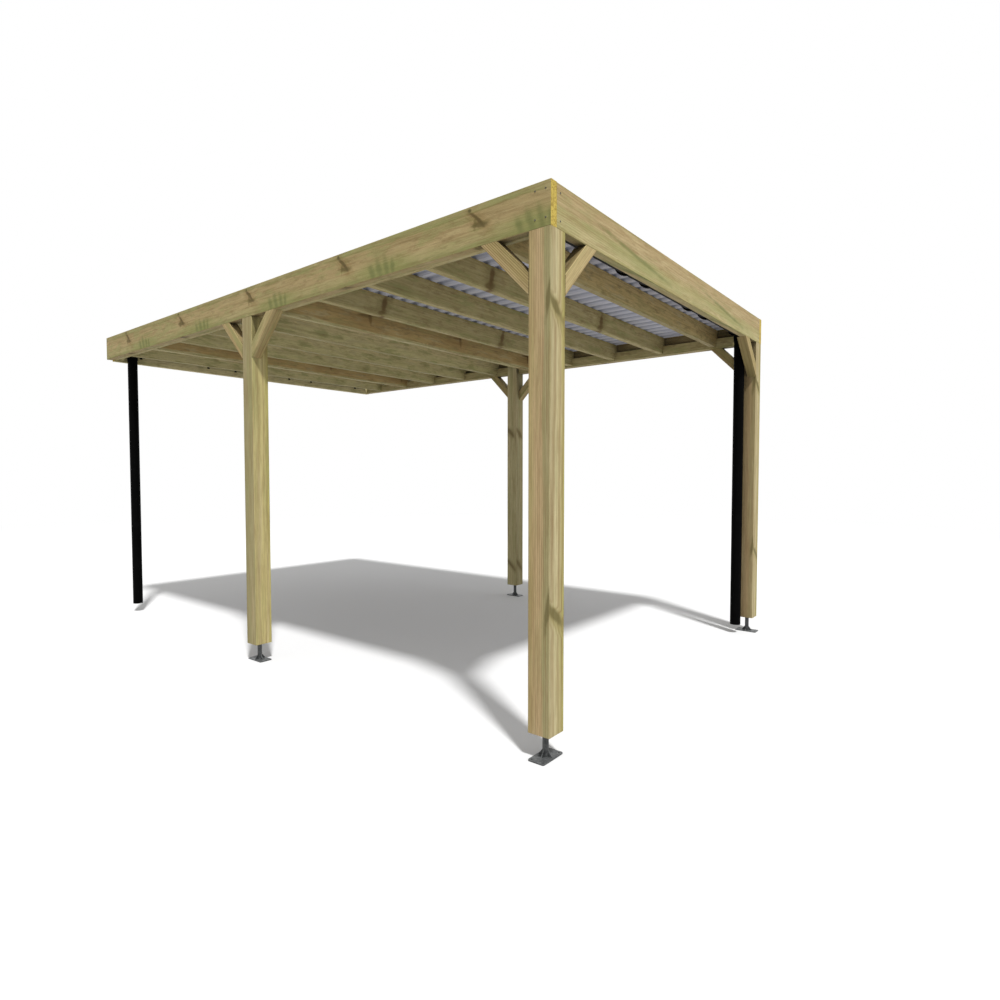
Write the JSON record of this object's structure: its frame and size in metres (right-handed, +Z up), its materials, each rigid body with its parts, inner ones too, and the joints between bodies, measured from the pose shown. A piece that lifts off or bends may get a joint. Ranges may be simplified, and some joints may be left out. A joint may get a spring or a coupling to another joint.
{
  "type": "timber carport",
  "caption": "Lean-to timber carport: notched posts on steel feet, edge beams, joists, knee braces, corrugated roof, gutters and downpipes.",
  "frame": {"origin": "on the ground at the centre of the footprint, foot plates included", "axes": "+X to the right seen from the entry, +Y from the entry towards the wall, +Z up"},
  "size_m": [3.1424, 5.0226, 2.59],
  "materials": {
    "post_timber": "planed, pressure treated",
    "beam_timber": "planed, pressure treated",
    "joist_timber": "sawn, pressure treated",
    "brace_timber": "planed, pressure treated",
    "steel": "grey coated steel",
    "roof_sheet": "grey corrugated sheet",
    "black_plastic": "black rainwater goods"
  },
  "bodies": {
    "root": {"post_front_left": "post_timber", "post_front_right": "post_timber", "post_side_left": "post_timber", "post_side_right": "post_timber", "beam_left": "beam_timber", "beam_right": "beam_timber", "beam_front": "beam_timber", "wall_ledger": "beam_timber", "bearer_strip_front_left": "joist_timber", "bearer_strip_front_right": "joist_timber", "bearer_strip_rear_left": "joist_timber", "bearer_strip_rear_right": "joist_timber", "joist_01": "joist_timber", "joist_02": "joist_timber", "joist_03": "joist_timber", "joist_04": "joist_timber", "joist_05": "joist_timber", "joist_06": "joist_timber", "joist_07": "joist_timber", "joist_08": "joist_timber", "joist_09": "joist_timber", "joist_10": "joist_timber", "brace_front_left_across": "brace_timber", "brace_front_left_back": "brace_timber", "brace_front_right_across": "brace_timber", "brace_front_right_back": "brace_timber", "brace_side_left_front": "brace_timber", "brace_side_left_back": "brace_timber", "brace_side_right_front": "brace_timber", "brace_side_right_back": "brace_timber", "foot_front_left": "steel", "foot_front_right": "steel", "foot_side_left": "steel", "foot_side_right": "steel", "roof_sheet_left": "roof_sheet", "roof_sheet_middle": "roof_sheet", "roof_sheet_right": "roof_sheet", "gutter_front": "black_plastic", "gutter_brackets_front": "black_plastic", "gutter_outlet_front": "black_plastic", "downpipe_front": "black_plastic", "gutter_rear": "black_plastic", "gutter_brackets_rear": "black_plastic", "gutter_outlet_rear": "black_plastic", "downpipe_rear": "black_plastic"}
  },
  "joints": []
}
